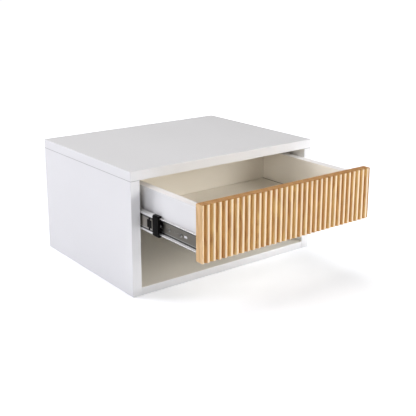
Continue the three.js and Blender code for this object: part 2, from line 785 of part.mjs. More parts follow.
// The bumper closes the middle member's front end, and a boss holds it in a window of the web
function bumper(name) {
  const lobeLevel = BUMPER_HALF_HEIGHT - BUMPER_LOBE / 2;
  const plate = roundedOutline(BUMPER_PLATE_REACH - MIDDLE_WEB_REACH, 2 * lobeLevel, BUMPER_ROUND);
  const plateMiddle = (BUMPER_PLATE_REACH + MIDDLE_WEB_REACH) / 2;
  const piece = new Piece(
    name,
    blackPlastic,
    drawnAlongY(plate, BUMPER_LENGTH).translate(plateMiddle, 0, 0),
  );
  const lobe = roundedOutline(BUMPER_LOBE_REACH - BUMPER_LOBE_START, BUMPER_LOBE, BUMPER_ROUND);
  const lobeMiddle = (BUMPER_LOBE_REACH + BUMPER_LOBE_START) / 2;
  for (const side of [-1, 1]) {
    piece.join(drawnAlongY(lobe, BUMPER_LENGTH), vector(lobeMiddle, 0, side * lobeLevel));
  }
  piece.join(
    levelBlock(
      BUMPER_PLATE_REACH - BUMPER_ROUND,
      BUMPER_CORE_REACH,
      0,
      BUMPER_LENGTH,
      BUMPER_CORE_HALF_HEIGHT,
      BUMPER_ROUND,
    ),
  );
  const tongueFace = MIDDLE_WEB_REACH + MIDDLE_WALL + FIT_GAP;
  piece.join(
    levelBlock(
      tongueFace,
      tongueFace + TONGUE_THICKNESS,
      BUMPER_LENGTH / 2,
      TONGUE_END,
      TONGUE_HALF_HEIGHT,
      BUMPER_ROUND,
    ),
  );
  for (const window of windowParts(0)) {
    piece.join(window(MIDDLE_WEB_REACH, tongueFace + TONGUE_THICKNESS));
  }
  return piece;
}

// The window's two parts: a level one, and an upright bar that crosses it
function windowParts(grow) {
  const middle = WINDOW_START + WINDOW_LENGTH / 2;
  return [
    (from, to) => levelBlock(
      from,
      to,
      WINDOW_START - grow,
      WINDOW_START + WINDOW_LENGTH + grow,
      WINDOW_HALF_HEIGHT + grow,
      WINDOW_ROUND,
    ),
    (from, to) => levelBlock(
      from,
      to,
      middle - WINDOW_BAR_WIDTH / 2 - grow,
      middle + WINDOW_BAR_WIDTH / 2 + grow,
      WINDOW_BAR_HALF_HEIGHT + grow,
      WINDOW_ROUND,
    ),
  ];
}

// Its tail lies in the path of the bumper's tongue, and its hook stops there when fully open
function releaseLever(name) {
  const outline = new THREE.Shape();
  const hookFront = TONGUE_END + STEP_TRAVEL + FIT_GAP - LEVER_PIVOT;
  const rear = hookFront + LEVER_HOOK_LENGTH;
  outline.absarc(0, 0, LEVER_HEAD_RADIUS, Math.PI / 3, 1.5 * Math.PI);
  outline.quadraticCurveTo(rear / 3, -LEVER_HEAD_RADIUS, rear / 2, -LEVER_TAIL_HALF_HEIGHT);
  outline.lineTo(rear, -LEVER_TAIL_HALF_HEIGHT);
  outline.lineTo(rear, LEVER_TAIL_HALF_HEIGHT);
  outline.lineTo(rear / 3, LEVER_TAIL_HALF_HEIGHT);
  outline.closePath();
  const face = SLIDE_THICKNESS - DRAWER_WALL - FIT_GAP;
  const front = face - LEVER_THICKNESS;
  const pivot = vector(0, LEVER_PIVOT, LEVER_RAISE);
  return new Piece(
    name,
    blackPlastic,
    drawnAlongX(outline, LEVER_THICKNESS, HOLE_SEGMENTS / 2).translate(front, 0, 0),
    pivot,
  )
    .join(
      levelBlock(
        LEVER_HOOK_REACH,
        face,
        hookFront,
        rear,
        LEVER_TAIL_HALF_HEIGHT,
        LEVER_TAIL_HALF_HEIGHT / 3,
      ),
      pivot,
    )
    .cut(
      slotCutter(front - OVERRUN, face + OVERRUN, 0, RIVET_RADIUS + HOLE_CLEARANCE),
      pivot,
    );
}

function leverRivet(name) {
  const leverFace = SLIDE_THICKNESS - DRAWER_WALL - FIT_GAP - LEVER_THICKNESS;
  const seat = leverFace - FIT_GAP;
  const head = seat - RIVET_HEAD_HEIGHT;
  return new Piece(
    name,
    screwSteel,
    turnedAlongX(
      [
        [0, head],
        [RIVET_HEAD_RADIUS * CROWN_SHARE, head],
        [RIVET_HEAD_RADIUS, seat],
        [RIVET_RADIUS, seat],
        [RIVET_RADIUS, SLIDE_THICKNESS],
        [0, SLIDE_THICKNESS],
      ],
      HOLE_SEGMENTS,
    ),
    vector(0, LEVER_PIVOT, LEVER_RAISE),
  );
}

function rearStop(name) {
  return new Piece(
    name,
    blackPlastic,
    levelBlock(
      REAR_STOP_START_REACH,
      REAR_STOP_END_REACH,
      SLIDE_LENGTH - REAR_STOP_LENGTH,
      SLIDE_LENGTH,
      REAR_STOP_HALF_HEIGHT,
      BUMPER_ROUND,
    ),
  );
}

function cabinetMember(label) {
  const name = `cabinet_member_${label}`;
  const outline = stripOutline(cabinetMemberLine(), CABINET_WALL);
  const piece = new Piece(name, zinc, drawnAlongY(outline, SLIDE_LENGTH));
  const slots = placesAlong(SLIDE_LENGTH, CABINET_SLOT_SHARES);
  punch(piece, 0, CABINET_WALL, slots, SLOT_LENGTH, SLOT_RADIUS);
  for (const place of CABINET_SCREWS) {
    piece.cut(cabinetScrew(HOLE_CLEARANCE, OVERRUN), vector(0, place, 0));
  }
  return piece;
}

function middleMember(label) {
  const name = `middle_member_${label}`;
  const outline = stripOutline(middleMemberLine(), MIDDLE_WALL);
  const start = BUMPER_LENGTH + FIT_GAP;
  const geometry = drawnAlongY(outline, STEP_LENGTH - start).translate(0, start, 0);
  const piece = new Piece(name, zinc, geometry);
  const webEnd = MIDDLE_WEB_REACH + MIDDLE_WALL;
  const slots = placesAlong(STEP_LENGTH, ACCESS_SLOT_SHARES);
  punch(piece, MIDDLE_WEB_REACH, webEnd, slots, ACCESS_SLOT_LENGTH, ACCESS_SLOT_RADIUS);
  for (const window of windowParts(FIT_GAP)) {
    piece.cut(window(MIDDLE_WEB_REACH - OVERRUN, webEnd + OVERRUN));
  }
  return piece;
}

function drawerMember(label) {
  const name = `drawer_member_${label}`;
  const outline = stripOutline(drawerMemberLine(), DRAWER_WALL);
  const piece = new Piece(name, zinc, drawnAlongY(outline, STEP_LENGTH));
  const web = SLIDE_THICKNESS - DRAWER_WALL;
  const slots = placesAlong(STEP_LENGTH, DRAWER_SLOT_SHARES);
  const pegHoles = placesAlong(STEP_LENGTH, PEG_HOLE_SHARES);
  punch(piece, web, SLIDE_THICKNESS, slots, SLOT_LENGTH, SLOT_RADIUS);
  punch(piece, web, SLIDE_THICKNESS, pegHoles, 0, PEG_HOLE_RADIUS);
  punch(piece, web, SLIDE_THICKNESS, DRAWER_SCREWS, 0, SLIDE_SCREW_RADIUS + HOLE_CLEARANCE);
  piece.cut(
    slotCutter(web - OVERRUN, SLIDE_THICKNESS + OVERRUN, 0, RIVET_RADIUS + HOLE_CLEARANCE),
    vector(0, LEVER_PIVOT, LEVER_RAISE),
  );
  return piece;
}

// One slide, as three groups: what stays with the cabinet, the middle member, the drawer's part
function slide(label, side, cabinetPieces, drawerPieces) {
  const stayGroup = new THREE.Group();
  const outerCageGroup = new THREE.Group();
  const middleGroup = new THREE.Group();
  const innerCageGroup = new THREE.Group();
  const drawerGroup = new THREE.Group();
  const turn = side > 0 ? Math.PI : 0;
  const x = side * (SIDE_FACE - FIT_GAP);
  const middleFront = SLIDE_FRONT - MIDDLE_OUT;
  const drawerFront = SLIDE_FRONT - OPENED;
  const outerSpan = placesAlong(SLIDE_LENGTH, OUTER_CAGE_SPAN_SHARES);
  const innerSpan = placesAlong(STEP_LENGTH, INNER_CAGE_SPAN_SHARES);
  const places = [
    [stayGroup, SLIDE_FRONT],
    [outerCageGroup, SLIDE_FRONT + outerSpan[0]],
    [middleGroup, middleFront],
    [innerCageGroup, middleFront + innerSpan[0]],
    [drawerGroup, drawerFront],
  ];
  for (const [group, front] of places) {
    group.position.set(x, front, SLIDE_CENTRE);
    group.rotation.y = turn;
  }

  const outerPlate = (CABINET_WALL + MIDDLE_WEB_REACH) / 2;
  const outerLine = cageLine(outerPlate, outerRow, OUTER_CAGE_ANGLE);
  const innerPlate = MIDDLE_WEB_REACH + MIDDLE_WALL + FIT_GAP + CAGE_WALL / 2;
  const innerLine = cageLine(innerPlate, innerRow, INNER_CAGE_ANGLE);
  stayGroup.add(cabinetMember(label).mesh(), rearStop(`rear_stop_${label}`).mesh());
  outerCageGroup.add(
    ballCage(`outer_ball_cage_${label}`, outerLine, outerRow, outerSpan).mesh(),
  );
  middleGroup.add(middleMember(label).mesh(), bumper(`bumper_${label}`).mesh());
  innerCageGroup.add(
    ballCage(`inner_ball_cage_${label}`, innerLine, innerRow, innerSpan).mesh(),
  );
  drawerGroup.add(
    drawerMember(label).mesh(),
    releaseLever(`release_lever_${label}`).mesh(),
    leverRivet(`lever_rivet_${label}`).mesh(),
  );

  const order = ["front", "middle", "rear"];
  CABINET_SCREWS.forEach((place, index) => {
    const name = `cabinet_screw_${label}_${order[index]}`;
    stayGroup.add(new Piece(name, screwSteel, cabinetScrew(0, 0), vector(0, place, 0)).mesh());
    const hole = cabinetScrew(HOLE_CLEARANCE, OVERRUN).rotateY(turn);
    cabinetPieces[`${label}_side`].cut(hole, vector(x, SLIDE_FRONT + place, SLIDE_CENTRE));
  });
  DRAWER_SCREWS.forEach((place, index) => {
    const name = `drawer_screw_${label}_${order[index]}`;
    drawerGroup.add(new Piece(name, screwSteel, drawerScrew(0), vector(0, place, 0)).mesh());
    const hole = drawerScrew(HOLE_CLEARANCE).rotateY(turn);
    const at = vector(x, drawerFront + place, SLIDE_CENTRE);
    drawerPieces[`box_side_${label}`].cut(hole, at);
  });
  return [stayGroup, outerCageGroup, middleGroup, innerCageGroup, drawerGroup];
}

const nightstand = new THREE.Group();
const cabinetPieces = carcass();
const drawerPieces = drawer();
for (const [side, label] of [[-1, "left"], [1, "right"]]) {
  nightstand.add(...slide(label, side, cabinetPieces, drawerPieces));
}
for (const piece of Object.values({ ...cabinetPieces, ...drawerPieces })) {
  nightstand.add(piece.mesh());
}

export default nightstand;
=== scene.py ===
# Floating nightstand: a white lacquered carcass on its underside, with its one drawer drawn out.
# Metres. X runs to the right, Y to the wall, Z up, as in the part's own frame.

import math

import bmesh
import bpy
from mathutils import Matrix, Vector


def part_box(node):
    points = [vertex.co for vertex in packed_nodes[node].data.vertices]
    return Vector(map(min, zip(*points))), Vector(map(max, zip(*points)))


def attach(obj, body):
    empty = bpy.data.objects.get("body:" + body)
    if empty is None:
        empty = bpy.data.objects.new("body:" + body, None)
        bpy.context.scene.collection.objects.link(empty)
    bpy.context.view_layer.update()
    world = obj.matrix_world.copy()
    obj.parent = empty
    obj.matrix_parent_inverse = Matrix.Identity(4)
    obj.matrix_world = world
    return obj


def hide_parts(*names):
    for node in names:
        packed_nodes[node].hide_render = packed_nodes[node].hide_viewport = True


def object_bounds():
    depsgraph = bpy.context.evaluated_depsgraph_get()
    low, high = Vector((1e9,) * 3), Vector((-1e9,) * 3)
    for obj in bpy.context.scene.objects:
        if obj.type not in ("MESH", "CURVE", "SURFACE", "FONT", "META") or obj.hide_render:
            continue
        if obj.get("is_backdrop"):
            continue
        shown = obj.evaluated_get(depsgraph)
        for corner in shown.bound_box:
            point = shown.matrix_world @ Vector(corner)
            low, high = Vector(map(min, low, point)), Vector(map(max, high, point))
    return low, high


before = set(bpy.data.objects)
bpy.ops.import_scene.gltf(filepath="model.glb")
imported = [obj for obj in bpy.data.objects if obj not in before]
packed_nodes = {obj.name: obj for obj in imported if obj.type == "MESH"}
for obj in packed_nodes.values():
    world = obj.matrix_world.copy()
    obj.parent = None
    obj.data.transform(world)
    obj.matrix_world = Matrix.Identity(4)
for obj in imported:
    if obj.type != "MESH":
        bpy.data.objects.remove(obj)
cad_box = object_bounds()


# Carcass
# Top, two sides, bottom and back of dense fibreboard, sprayed white and polished, warmer inside.
# The boards are dowelled and glued. The top lies over both sides, with a fine seam under it.
# The seam's shadow is painted on as a thin grey line.

BOARD_EASE = {
    "top_panel": 0.0011,
    "left_side": 0.0006,
    "right_side": 0.0006,
    "bottom_panel": 0.0006,
}
BOARD_EASE_STEPS = 3
SHORTEST_EASED_EDGE = 0.2
SHARP_DEGREES = 50
FLAT_DEGREES = 0.5
WELD_DISTANCE = 0.000001
COLOUR_CHANGE = 0.0003
SEAM_WIDTH = 0.0014
LACQUER_OUTSIDE = (0.80, 0.797, 0.806), (0.83, 0.828, 0.837)
LACQUER_INSIDE = (0.86, 0.83, 0.765), (0.89, 0.86, 0.80)
# Painted shade for the seam under the top
SEAM_SHADE_GREY = (0.42, 0.42, 0.42)
PEEL_HEIGHT = 0.00002

left_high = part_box("left_side")[1]
top_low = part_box("top_panel")[0]
bottom_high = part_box("bottom_panel")[1]
back_low, back_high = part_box("back_panel")


class Signal:
    """A value that varies over a surface. Arithmetic on it adds the Math nodes."""

    def __init__(self, graph, socket):
        self.graph = graph
        self.socket = socket

    def combined(self, operation, first, second=0):
        """One Math node on one or two values."""
        settings = {"operation": operation}
        return self.graph.node("ShaderNodeMath", settings, {0: first, 1: second})

    def __add__(self, other):
        return self.combined("ADD", self, other)

    def __sub__(self, other):
        return self.combined("SUBTRACT", self, other)

    def __rsub__(self, other):
        return self.combined("SUBTRACT", other, self)

    def __mul__(self, other):
        return self.combined("MULTIPLY", self, other)

    def __truediv__(self, other):
        return self.combined("DIVIDE", self, other)

    def __rtruediv__(self, other):
        return self.combined("DIVIDE", other, self)

    def __abs__(self):
        return self.combined("ABSOLUTE", self)

    def __round__(self):
        return self.combined("ROUND", self)

    __radd__ = __add__
    __rmul__ = __mul__


class NodeTree:
    """The nodes of a material or of the room, cleared at the start."""

    def __init__(self, owner):
        owner.use_nodes = True
        self.tree = owner.node_tree
        self.tree.nodes.clear()

    def node(self, kind, settings=None, inputs=None, output=0):
        """Any node: its settings first, then the values or links of its sockets."""
        made = self.tree.nodes.new(kind)
        for name, value in (settings or {}).items():
            setattr(made, name, value)
        for name, value in (inputs or {}).items():
            if isinstance(value, Signal):
                self.tree.links.new(value.socket, made.inputs[name])
            else:
                made.inputs[name].default_value = value
        return None if output is None else Signal(self, made.outputs[output])


class Finish(NodeTree):
    """One finish: a material whose patterns lie in the object's own coordinates."""

    # The Mix node's sockets where it mixes colours
    SHARE = 0
    FIRST_COLOUR = 6
    SECOND_COLOUR = 7
    MIXED_COLOUR = 2

    def __init__(self, name):
        self.material = bpy.data.materials.new(name)
        super().__init__(self.material)
        self.place = self.node("ShaderNodeTexCoord", output="Object")

    def noise(self, scale, detail, stretch=(1, 1, 1), distortion=0.0):
        """Noise from 0 to 1, drawn out along each axis that has a small factor."""
        where = self.node("ShaderNodeMapping", inputs={"Vector": self.place, "Scale": stretch})
        inputs = {"Vector": where, "Scale": scale, "Detail": detail, "Distortion": distortion}
        return self.node("ShaderNodeTexNoise", inputs=inputs)

    def blend(self, share, first, second):
        """Two colours mixed by a share from 0 to 1."""
        first, second = [c if isinstance(c, Signal) else (*c, 1) for c in (first, second)]
        inputs = {self.SHARE: share, self.FIRST_COLOUR: first, self.SECOND_COLOUR: second}
        return self.node("ShaderNodeMix", {"data_type": "RGBA"}, inputs, self.MIXED_COLOUR)

    def step(self, value, low, high):
        """0 below low, 1 above high, and smooth between them."""
        settings = {"interpolation_type": "SMOOTHSTEP"}
        return self.node("ShaderNodeMapRange", settings, {0: value, 1: low, 2: high})

    def axis(self, letter):
        """One coordinate of the object, in metres."""
        return self.node("ShaderNodeSeparateXYZ", inputs={"Vector": self.place}, output=letter)

    def bump(self, height, distance, strength):
        """A fine relief. The distance is its full height in metres."""
        inputs = {"Height": height, "Distance": distance, "Strength": strength}
        return self.node("ShaderNodeBump", inputs=inputs)

    def shader(self, **sockets):
        """A principled shader. A socket's name is written with underscores for its spaces."""
        inputs = {name.replace("_", " "): value for name, value in sockets.items()}
        if not isinstance(inputs["Base Color"], Signal):
            inputs["Base Color"] = (*inputs["Base Color"], 1)
        return self.node("ShaderNodeBsdfPrincipled", inputs=inputs)

    def end(self, shader):
        """Makes this shader the whole surface."""
        self.node("ShaderNodeOutputMaterial", inputs={"Surface": shader}, output=None)

    def surface(self, **sockets):
        """A surface of one principled shader."""
        self.end(self.shader(**sockets))


def dress(finish, *names):
    """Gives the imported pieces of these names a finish."""
    for name in names:
        for slot in packed_nodes[name].material_slots:
            slot.material = finish.material


def welded(name):
    """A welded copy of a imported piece, with its flat faces whole again."""
    mesh = bmesh.new()
    mesh.from_mesh(packed_nodes[name].data)
    bmesh.ops.remove_doubles(mesh, verts=mesh.verts, dist=WELD_DISTANCE)
    limit = math.radians(FLAT_DEGREES)
    bmesh.ops.dissolve_limit(mesh, angle_limit=limit, verts=mesh.verts, edges=mesh.edges)
    return mesh


def smooth(mesh, degrees):
    """Smooth faces, with the edges sharper than the angle kept hard."""
    for face in mesh.faces:
        face.smooth = True
    for edge in mesh.edges:
        edge.smooth = edge.is_manifold and edge.calc_face_angle(0) < math.radians(degrees)


def ease(mesh, radius, steps, shortest=0.0):
    """Rounds the sharp edges that are longer than the shortest."""
    limit = math.radians(SHARP_DEGREES)
    sharp = [e for e in mesh.edges if e.is_manifold and e.calc_face_angle(0) > limit]
    bmesh.ops.bevel(
        mesh,
        geom=[e for e in sharp if e.calc_length() > shortest],
        offset=radius,
        segments=steps,
        profile=0.5,
        affect="EDGES",
        material=-1,
        clamp_overlap=True,
    )
    smooth(mesh, SHARP_DEGREES)


def as_piece(name, mesh, finishes, slot, body, *replaced):
    """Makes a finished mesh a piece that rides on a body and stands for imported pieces."""
    data = bpy.data.meshes.new(name)
    mesh.to_mesh(data)
    mesh.free()
    for finish in finishes:
        data.materials.append(finish.material)
    piece = bpy.data.objects.new(name, data)
    bpy.context.scene.collection.objects.link(piece)
    even_faces = piece.modifiers.new("even_faces", "WEIGHTED_NORMAL")
    even_faces.keep_sharp = True
    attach(piece, body)
    if replaced:
        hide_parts(*replaced)


lacquer = Finish("white_lacquer")
lacquer_cloud = lacquer.noise(7, 3)
lacquer_peel = lacquer.noise(1400, 1)
lacquer_level = lacquer.axis("Z")
lacquer_depth = lacquer.axis("Y")
inside_face = -left_high.x
between_sides = 1 - lacquer.step(abs(lacquer.axis("X")), inside_face, inside_face + COLOUR_CHANGE)
above_bottom = lacquer.step(lacquer_level, bottom_high.z - COLOUR_CHANGE, bottom_high.z)
below_top = 1 - lacquer.step(lacquer_level, top_low.z, top_low.z + COLOUR_CHANGE)
behind_front = lacquer.step(lacquer_depth, top_low.y, top_low.y + COLOUR_CHANGE)
before_back = 1 - lacquer.step(lacquer_depth, back_low.y, back_high.y)
inside = between_sides * above_bottom * below_top * behind_front * before_back
# Painted shade: a thin grey line on the outside, along the seam under the top, stands in for its
# shadow.
seam_shade = 1 - lacquer.step(abs(lacquer_level - top_low.z), SEAM_WIDTH / 4, SEAM_WIDTH / 2)
lacquer_outside = lacquer.blend(lacquer_cloud, *LACQUER_OUTSIDE)
lacquer_seam_shaded = lacquer.blend(seam_shade * (1 - between_sides), lacquer_outside, SEAM_SHADE_GREY)
lacquer_inside = lacquer.blend(lacquer_cloud, *LACQUER_INSIDE)
lacquer.surface(
    Base_Color=lacquer.blend(inside, lacquer_seam_shaded, lacquer_inside),
    Roughness=0.26 + lacquer_cloud * 0.1,
    Coat_Weight=0.2,
    Coat_Roughness=0.12,
    Normal=lacquer.bump(lacquer_peel, PEEL_HEIGHT, 0.5),
)
for name, radius in BOARD_EASE.items():
    board = welded(name)
    ease(board, radius, BOARD_EASE_STEPS, SHORTEST_EASED_EDGE)
    as_piece(f"lacquered_{name}", board, (lacquer,), "white_lacquer", "cabinet", name)
dress(lacquer, "back_panel")


# Hanging cleat and dowels
# A bar of plain softwood behind the back panel, bevelled below to hook over a rail on the wall.
# Beech dowels, chamfered at both ends, are glued into the joints of the cleat and the boards.

SIDES = {"left": -1, "right": 1}
BARE_WOOD = (0.62, 0.43, 0.24), (0.74, 0.56, 0.35)
BARE_PORE_DEPTH = 0.0001

bare_wood = Finish("bare_wood")
bare_grain = bare_wood.noise(60, 4, (0.05, 1, 1), 0.6)
bare_pores = bare_wood.noise(700, 2, (0.04, 1, 1))
bare_wood.surface(
    Base_Color=bare_wood.blend(bare_grain, *BARE_WOOD),
    Roughness=0.62 + bare_pores * 0.2,
    Normal=bare_wood.bump(bare_pores, BARE_PORE_DEPTH, 0.4),
)
dress(bare_wood, "hanging_cleat")
for side in SIDES:
    dress(bare_wood, f"cleat_dowel_{side}")
    for board in ("top", "bottom"):
        dress(bare_wood, f"{board}_dowel_{side}_front", f"{board}_dowel_{side}_rear")


# Drawer front
# One board of light oak, oiled. Round-nosed reeds are cut side by side from end to end, and the
# cutter began half a reed over the left edge, so that edge is cut at a crest.

REED_PITCH = 0.01288
REED_DEPTH = 0.005
REED_STEPS = 14
REED_EASE = 0.0004
REED_EASE_STEPS = 2
REED_SHARP_DEGREES = 35
CUT_TOLERANCE = 0.0000001
FLAT_END_NORMAL = 0.9
END_GRAIN_NORMAL = 0.5
VALLEY_START = 0.4
VALLEY_SHADE_SHARE = 0.28
CREST_END = 0.14
CREST_HIGHLIGHT_SHARE = 0.76
FIGURE_EDGES = (0.34, 0.66)
PORE_EDGES = (0.56, 0.7)
LINE_SHARE = 0.5
PORE_SHARE = 0.5
REED_OAK = (0.75, 0.41, 0.106), (0.845, 0.575, 0.193)
REED_OAK_DARK = (0.56, 0.27, 0.065)
END_OAK = (0.62, 0.36, 0.16)
END_OAK_DARK = (0.46, 0.23, 0.09)
BOARD_OAK = (0.88, 0.63, 0.35)
BOARD_OAK_DARK = (0.72, 0.46, 0.22)
OAK_LINES = (0.44, 0.21, 0.06)
OAK_PORES = (0.27, 0.12, 0.035)
# A painted highlight for the reeds' crests and painted shade for their valleys
OAK_CREST_HIGHLIGHT = (0.93, 0.82, 0.63)
OAK_VALLEY_SHADE = (0.24, 0.085, 0.015)
GRAIN_HEIGHT = 0.0002
UPRIGHT_FIBRES = (1, 1, 0.03)
END_FIBRES = (1, 0.25, 1)

front_low, front_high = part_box("drawer_front")
reed_radius = (REED_PITCH**2 / 4 + REED_DEPTH**2) / (2 * REED_DEPTH)
reed_angle = 2 * math.asin(REED_PITCH / 2 / reed_radius)
reed_axis_y = front_low.y + reed_radius
reed_count = math.ceil((front_high.x - front_low.x) / REED_PITCH)

# The lower outline: half a reed from its crest, then each reed from where the last one ended
reeds = bmesh.new()
swept_to = reeds.verts.new((front_low.x, front_low.y, front_low.z))
for reed in range(reed_count + 1):
    share = 1 if reed else 0.5
    swept = bmesh.ops.spin(
        reeds,
        geom=[swept_to],
        cent=(front_low.x + reed * REED_PITCH, reed_axis_y, front_low.z),
        axis=(0, 0, 1),
        angle=reed_angle * share,
        steps=int(REED_STEPS * share),
    )
    swept_to = next(v for v in swept["geom_last"] if isinstance(v, bmesh.types.BMVert))
bmesh.ops.bisect_plane(
    reeds,
    geom=reeds.verts[:] + reeds.edges[:],
    plane_co=(front_high.x, 0, 0),
    plane_no=(1, 0, 0),
    clear_outer=True,
    dist=CUT_TOLERANCE,
)
reeds.verts.ensure_lookup_table()
right_end = max(reeds.verts, key=lambda v: v.co.x)
left_end = min(reeds.verts, key=lambda v: (v.co.x, v.co.y))
rear_corners = []
for end in (right_end, left_end):
    corner = bmesh.ops.extrude_vert_indiv(reeds, verts=[end])["verts"][0]
    corner.co.y = front_high.y
    rear_corners.append(corner)
reeds.edges.new(rear_corners)
bmesh.ops.contextual_create(reeds, geom=reeds.edges[:])
raised = bmesh.ops.extrude_face_region(reeds, geom=reeds.faces[:])
bmesh.ops.translate(
    reeds,
    vec=(0, 0, front_high.z - front_low.z),
    verts=[v for v in raised["geom"] if isinstance(v, bmesh.types.BMVert)],
)
bmesh.ops.recalc_face_normals(reeds, faces=reeds.faces[:])
flat_ends = [f for f in reeds.faces if abs(f.normal.z) > FLAT_END_NORMAL]
bmesh.ops.bevel(
    reeds,
    geom=[e for f in flat_ends for e in f.edges],
    offset=REED_EASE,
    segments=REED_EASE_STEPS,
    profile=0.5,
    affect="EDGES",
    material=-1,
    clamp_overlap=True,
)
smooth(reeds, REED_SHARP_DEGREES)


def oak_surface(finish, fibres, light, dark, valley=0, crest=0):
    """Oiled oak. The fibres have a small factor along the axis that they follow."""
    wavy_fibres = tuple(math.sqrt(factor) for factor in fibres)
    figure = finish.step(finish.noise(85, 4, wavy_fibres, 1.4), *FIGURE_EDGES)
    grain = finish.noise(260, 4, fibres, 0.5)
    pores = finish.step(finish.noise(950, 2, fibres), *PORE_EDGES)
    lined = finish.blend(grain * LINE_SHARE, finish.blend(figure, dark, light), OAK_LINES)
    pored = finish.blend(pores * PORE_SHARE, lined, OAK_PORES)
    # Painted highlight: the crest share lightens the crests. Painted shade: the valley share
    # darkens the valleys.
    crest_highlighted = finish.blend(crest, pored, OAK_CREST_HIGHLIGHT)
    finish.surface(
        Base_Color=finish.blend(valley, crest_highlighted, OAK_VALLEY_SHADE),
        Roughness=0.5 + grain * 0.2,
        Coat_Weight=0.5,
        Coat_Roughness=0.3,
        Normal=finish.bump(grain, GRAIN_HEIGHT, 0.5),
    )


reeded_oak = Finish("reeded_oak")
reed_number = round((reeded_oak.axis("X") - front_low.x) / REED_PITCH)
reed_tone = reeded_oak.node(
    "ShaderNodeTexWhiteNoise", {"noise_dimensions": "1D"}, {"W": reed_number}
)
reed_depth = (reeded_oak.axis("Y") - front_low.y) / REED_DEPTH
# The reeds' depth sets where the painted highlight and the painted shade fall.
oak_surface(
    reeded_oak,
    UPRIGHT_FIBRES,
    reeded_oak.blend(reed_tone, *REED_OAK),
    REED_OAK_DARK,
    valley=VALLEY_SHADE_SHARE * reeded_oak.step(reed_depth, VALLEY_START, 1),
    crest=CREST_HIGHLIGHT_SHARE * (1 - reeded_oak.step(reed_depth, 0, CREST_END)),
)
oak_end = Finish("oak_end_grain")
oak_surface(oak_end, END_FIBRES, END_OAK, END_OAK_DARK)
oak_board = Finish("oak_board")
oak_surface(oak_board, UPRIGHT_FIBRES, BOARD_OAK, BOARD_OAK_DARK)
oak_finishes = (reeded_oak, oak_end, oak_board)
for face in reeds.faces:
    if abs(face.normal.z) > END_GRAIN_NORMAL:
        face.material_index = oak_finishes.index(oak_end)
    elif face.calc_center_median().y > front_low.y + REED_DEPTH:
        face.material_index = oak_finishes.index(oak_board)
as_piece("reeded_front", reeds, oak_finishes, "reeded_wood", "drawer", "drawer_front")


# Drawer box
# Four boards glued at the corners, foiled white outside and warm white inside, with white edging
# on the sides' upper edges. A thin bottom lies in their grooves, with a dark line beside it.

EDGE_BAND = 0.0012
JOINT_GAP = 0.0018
FOIL_EASE = 0.0005
FOIL_EASE_STEPS = 2
SHORTEST_FOILED_EDGE = 0.05
FOIL_INSIDE = (0.895, 0.845, 0.755), (0.93, 0.885, 0.80)
FOIL_OUTSIDE = (0.75, 0.748, 0.755), (0.79, 0.788, 0.795)
FOIL_ON_TOP = (0.82, 0.795, 0.79), (0.86, 0.835, 0.83)
JOINT_SHADE = (0.16, 0.14, 0.11)
FOIL_GRAIN_HEIGHT = 0.00003

box_side_low, box_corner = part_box("box_side_right")
box_inside = box_side_low.x
floor_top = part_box("box_bottom")[1]

foil = Finish("off_white_foil")
foil_cloud = foil.noise(9, 3)
foil_grain = foil.noise(900, 2, (1, 0.12, 1))
foil_across = abs(foil.axis("X"))
foil_level = foil.axis("Z")
on_side = foil.step(foil_across, box_inside - EDGE_BAND, box_inside)
on_top = foil.step(foil_level, box_corner.z - EDGE_BAND, box_corner.z) * on_side
on_outside = foil.step(foil_across, box_corner.x - EDGE_BAND, box_corner.x - EDGE_BAND / 2)
near_side = foil.step(foil_across, box_inside - JOINT_GAP, box_inside - JOINT_GAP / 2)
above_floor = foil.step(foil_level, floor_top.z + EDGE_BAND / 4, floor_top.z + EDGE_BAND / 2)
foil_inside = foil.blend(foil_cloud, *FOIL_INSIDE)
foil_outside = foil.blend(foil_cloud, *FOIL_OUTSIDE)
foil_on_top = foil.blend(foil_cloud, *FOIL_ON_TOP)
foil_edged = foil.blend(on_outside, foil.blend(on_top, foil_inside, foil_on_top), foil_outside)
foil.surface(
    Base_Color=foil.blend(near_side * (1 - above_floor), foil_edged, JOINT_SHADE),
    Roughness=0.42 + foil_grain * 0.12,
    Normal=foil.bump(foil_grain, FOIL_GRAIN_HEIGHT, 0.5),
)
for name in ("inner_front", "box_back", "box_side_left", "box_side_right"):
    board = welded(name)
    ease(board, FOIL_EASE, FOIL_EASE_STEPS, SHORTEST_FOILED_EDGE)
    as_piece(f"foiled_{name}", board, (foil,), "drawer_box", "drawer", name)
dress(foil, "box_bottom")


# Slide channels
# Three channels of cold-rolled steel to a side, zinc plated, each roll-formed with races for the
# balls of the next. Their cut edges are deburred. The rolled lips get a painted highlight, and
# the web gets a painted light line for a bead, with painted shade beside it.
# Screws hold the outer one to the cabinet and the inner one to the drawer.

SLIDE_BODIES = {"cabinet": "cabinet", "middle": "middle_members", "drawer": "drawer"}
SHEET_EASE = 0.00018
SHEET_EASE_STEPS = 1
LIP_START = 0.0134
LIP_END = 0.0142
BEAD_LEVEL = 0.0098
BEAD_WIDTH = 0.0016
ZINC_WEB = (0.44, 0.41, 0.37), (0.58, 0.55, 0.505)
# Painted shade beside the bead, and painted highlights for the bead and the lips
ZINC_SHADED = (0.14, 0.14, 0.14)
ZINC_BEAD_HIGHLIGHT = (0.85, 0.85, 0.84)
ZINC_LIP_HIGHLIGHT = (0.83, 0.83, 0.83)
DRAW_HEIGHT = 0.00003

slide_low, slide_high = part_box("cabinet_member_left")

zinc = Finish("zinc_plate")
zinc_cloud = zinc.noise(30, 4, (1, 0.25, 1), 0.5)
zinc_draw = zinc.noise(1500, 2, (1, 0.01, 1))
above_centre = zinc.axis("Z") - (slide_low.z + slide_high.z) / 2
from_centre = abs(above_centre)
on_lip = zinc.step(from_centre, LIP_START, LIP_END)
